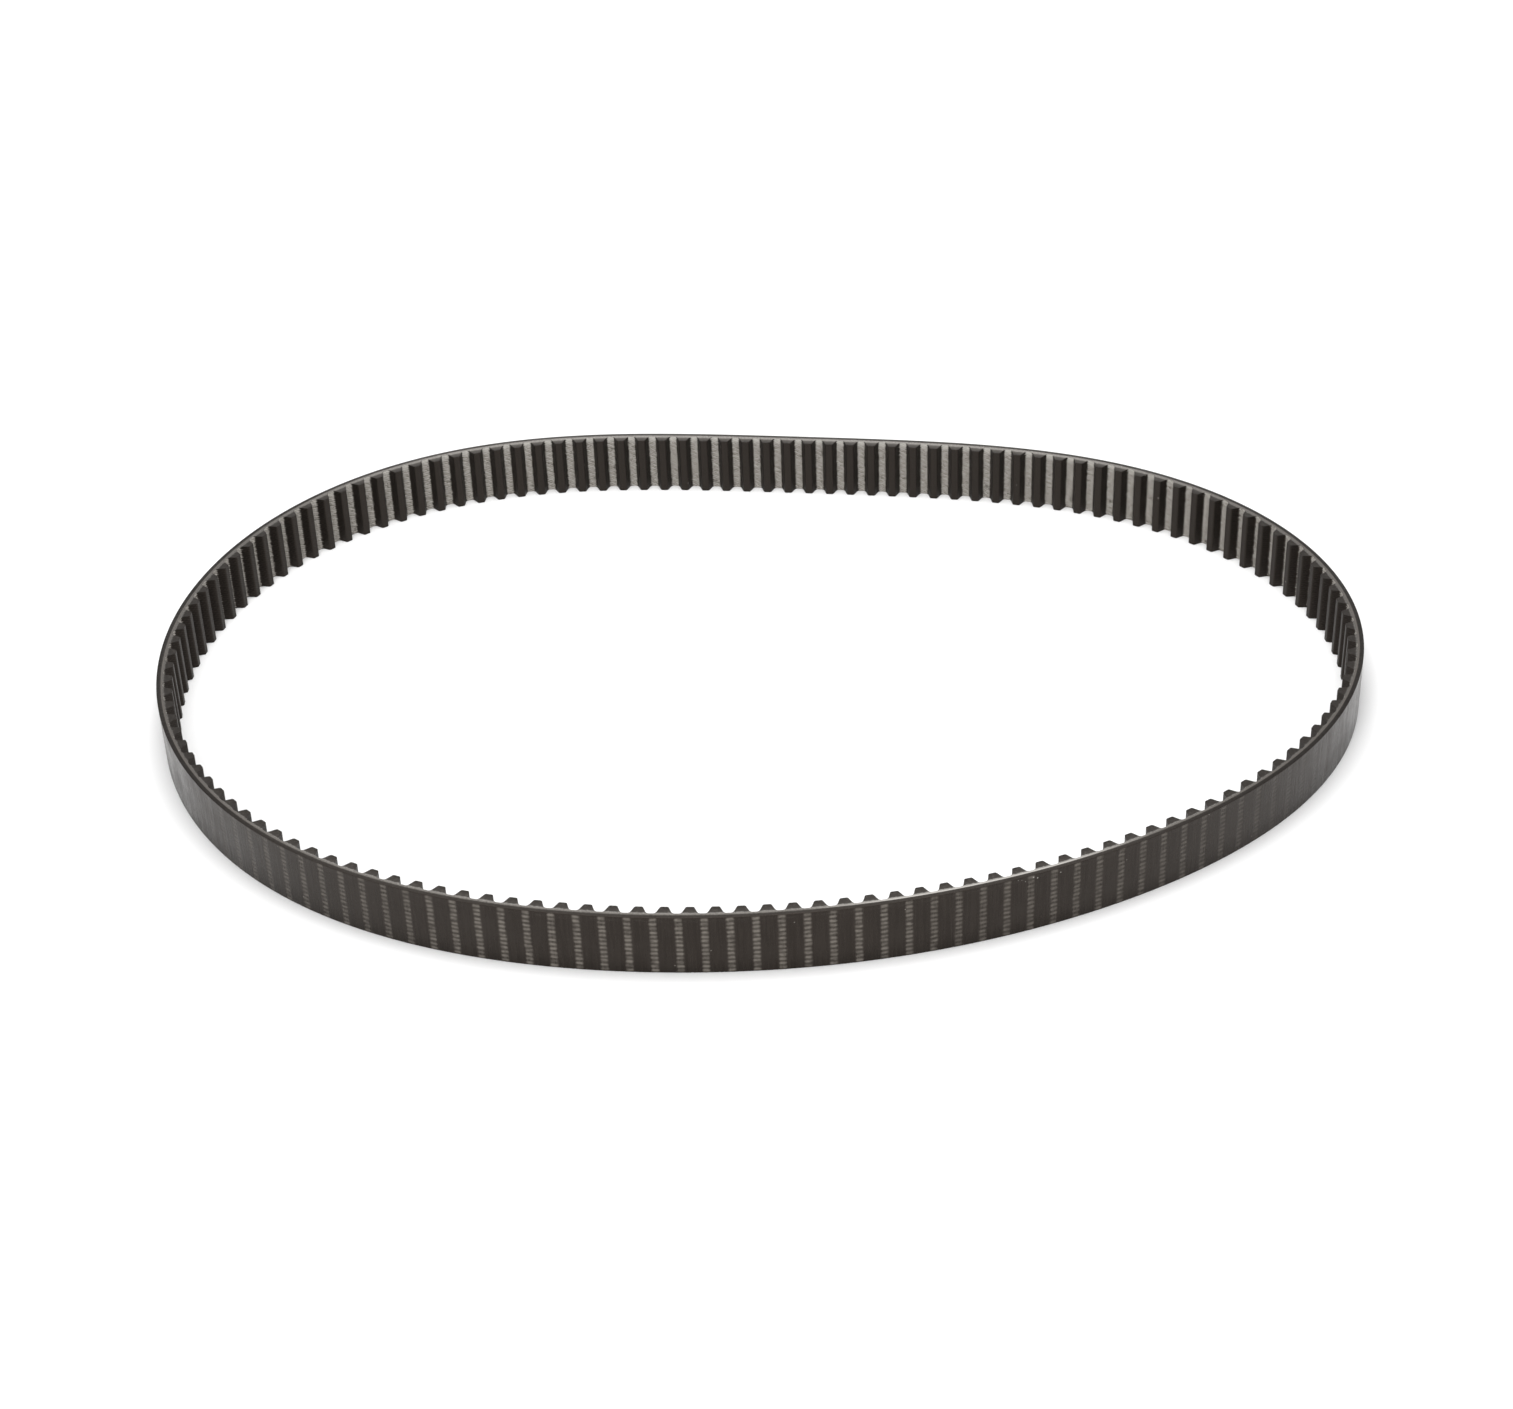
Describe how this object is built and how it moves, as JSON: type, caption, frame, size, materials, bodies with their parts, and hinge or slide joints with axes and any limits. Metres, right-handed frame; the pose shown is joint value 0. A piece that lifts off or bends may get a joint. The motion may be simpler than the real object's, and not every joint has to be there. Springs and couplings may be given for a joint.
{
  "type": "timing belt",
  "caption": "Endless toothed drive belt with fabric-faced trapezoidal teeth inside, standing on its cut edge in a relaxed oval loop that flexes.",
  "frame": {"origin": "on the floor plane under the centre of the loop, which is the middle of the bottom cut edge", "axes": "+Z across the belt width, +X along the long side of the loop, +Y from the front run to the back run"},
  "size_m": [0.4148, 0.291, 0.022],
  "materials": {
    "backing": "matte dark rubber with a rung pattern of cord impressions behind each land",
    "cord_ply": "pale twisted strands set in adhesive",
    "tooth_rubber": "matte dark rubber",
    "facing": "tight grey nylon weave on the lands, darkened with rubber on the teeth"
  },
  "bodies": {
    "section_01": {"backing_01": "backing", "cord_ply_01": "cord_ply", "tooth_rubber_01": "tooth_rubber", "facing_01": "facing"},
    "section_02": {"backing_02": "backing", "cord_ply_02": "cord_ply", "tooth_rubber_02": "tooth_rubber", "facing_02": "facing"},
    "section_03": {"backing_03": "backing", "cord_ply_03": "cord_ply", "tooth_rubber_03": "tooth_rubber", "facing_03": "facing"},
    "section_04": {"backing_04": "backing", "cord_ply_04": "cord_ply", "tooth_rubber_04": "tooth_rubber", "facing_04": "facing"},
    "section_05": {"backing_05": "backing", "cord_ply_05": "cord_ply", "tooth_rubber_05": "tooth_rubber", "facing_05": "facing"},
    "section_06": {"backing_06": "backing", "cord_ply_06": "cord_ply", "tooth_rubber_06": "tooth_rubber", "facing_06": "facing"},
    "section_07": {"backing_07": "backing", "cord_ply_07": "cord_ply", "tooth_rubber_07": "tooth_rubber", "facing_07": "facing"},
    "section_08": {"backing_08": "backing", "cord_ply_08": "cord_ply", "tooth_rubber_08": "tooth_rubber", "facing_08": "facing"},
    "section_09": {"backing_09": "backing", "cord_ply_09": "cord_ply", "tooth_rubber_09": "tooth_rubber", "facing_09": "facing"},
    "section_10": {"backing_10": "backing", "cord_ply_10": "cord_ply", "tooth_rubber_10": "tooth_rubber", "facing_10": "facing"},
    "section_11": {"backing_11": "backing", "cord_ply_11": "cord_ply", "tooth_rubber_11": "tooth_rubber", "facing_11": "facing"},
    "section_12": {"backing_12": "backing", "cord_ply_12": "cord_ply", "tooth_rubber_12": "tooth_rubber", "facing_12": "facing"},
    "section_13": {"backing_13": "backing", "cord_ply_13": "cord_ply", "tooth_rubber_13": "tooth_rubber", "facing_13": "facing"},
    "section_14": {"backing_14": "backing", "cord_ply_14": "cord_ply", "tooth_rubber_14": "tooth_rubber", "facing_14": "facing"}
  },
  "joints": [
    {"name": "bend_01_02", "type": "hinge", "parent": "section_01", "child": "section_02", "pos_m": [0.0273, -0.14146, 0], "axis": [0, 0, 1], "range_deg": [-8, 8]},
    {"name": "bend_02_03", "type": "hinge", "parent": "section_02", "child": "section_03", "pos_m": [0.10424, -0.12058, 0], "axis": [0, 0, 1], "range_deg": [-0.7, 0.7]},
    {"name": "bend_03_04", "type": "hinge", "parent": "section_03", "child": "section_04", "pos_m": [0.17074, -0.07702, 0], "axis": [0, 0, 1], "range_deg": [-5.8, 5.8]},
    {"name": "bend_04_05", "type": "hinge", "parent": "section_04", "child": "section_05", "pos_m": [0.20525, -0.00661, 0], "axis": [0, 0, 1], "range_deg": [-8.9, 8.9]},
    {"name": "bend_05_06", "type": "hinge", "parent": "section_05", "child": "section_06", "pos_m": [0.18356, 0.06853, 0], "axis": [0, 0, 1], "range_deg": [-5.1, 5.1]},
    {"name": "bend_06_07", "type": "hinge", "parent": "section_06", "child": "section_07", "pos_m": [0.11994, 0.11525, 0], "axis": [0, 0, 1], "range_deg": [-3.7, 3.7]},
    {"name": "bend_07_08", "type": "hinge", "parent": "section_07", "child": "section_08", "pos_m": [0.04213, 0.13309, 0], "axis": [0, 0, 1], "range_deg": [-7.7, 7.7]},
    {"name": "bend_08_09", "type": "hinge", "parent": "section_08", "child": "section_09", "pos_m": [-0.03727, 0.14284, 0], "axis": [0, 0, 1], "range_deg": [-8.1, 8.1]},
    {"name": "bend_14_01", "type": "hinge", "parent": "section_01", "child": "section_14", "pos_m": [-0.05245, -0.14072, 0], "axis": [0, 0, -1], "range_deg": [-9.2, 9.2]},
    {"name": "bend_13_14", "type": "hinge", "parent": "section_14", "child": "section_13", "pos_m": [-0.12831, -0.11671, 0], "axis": [0, 0, -1], "range_deg": [-1, 1]},
    {"name": "bend_12_13", "type": "hinge", "parent": "section_13", "child": "section_12", "pos_m": [-0.18589, -0.06252, 0], "axis": [0, 0, -1], "range_deg": [-5.5, 5.5]},
    {"name": "bend_11_12", "type": "hinge", "parent": "section_12", "child": "section_11", "pos_m": [-0.20559, 0.01386, 0], "axis": [0, 0, -1], "range_deg": [-9.2, 9.2]},
    {"name": "bend_10_11", "type": "hinge", "parent": "section_11", "child": "section_10", "pos_m": [-0.17975, 0.08836, 0], "axis": [0, 0, -1], "range_deg": [-3.9, 3.9]}
  ],
  "couplings": [
    {"joint": "bend_02_03", "follows": "bend_01_02", "ratio": 0.0693},
    {"joint": "bend_03_04", "follows": "bend_01_02", "ratio": -0.7046},
    {"joint": "bend_04_05", "follows": "bend_01_02", "ratio": -1.0815},
    {"joint": "bend_05_06", "follows": "bend_01_02", "ratio": -0.6152},
    {"joint": "bend_06_07", "follows": "bend_01_02", "ratio": 0.4451},
    {"joint": "bend_07_08", "follows": "bend_01_02", "ratio": 0.928},
    {"joint": "bend_08_09", "follows": "bend_01_02", "ratio": 0.9865},
    {"joint": "bend_14_01", "follows": "bend_01_02", "ratio": 1.1107},
    {"joint": "bend_13_14", "follows": "bend_01_02", "ratio": 0.1151},
    {"joint": "bend_12_13", "follows": "bend_01_02", "ratio": -0.6663},
    {"joint": "bend_11_12", "follows": "bend_01_02", "ratio": -1.116},
    {"joint": "bend_10_11", "follows": "bend_01_02", "ratio": -0.4711}
  ]
}
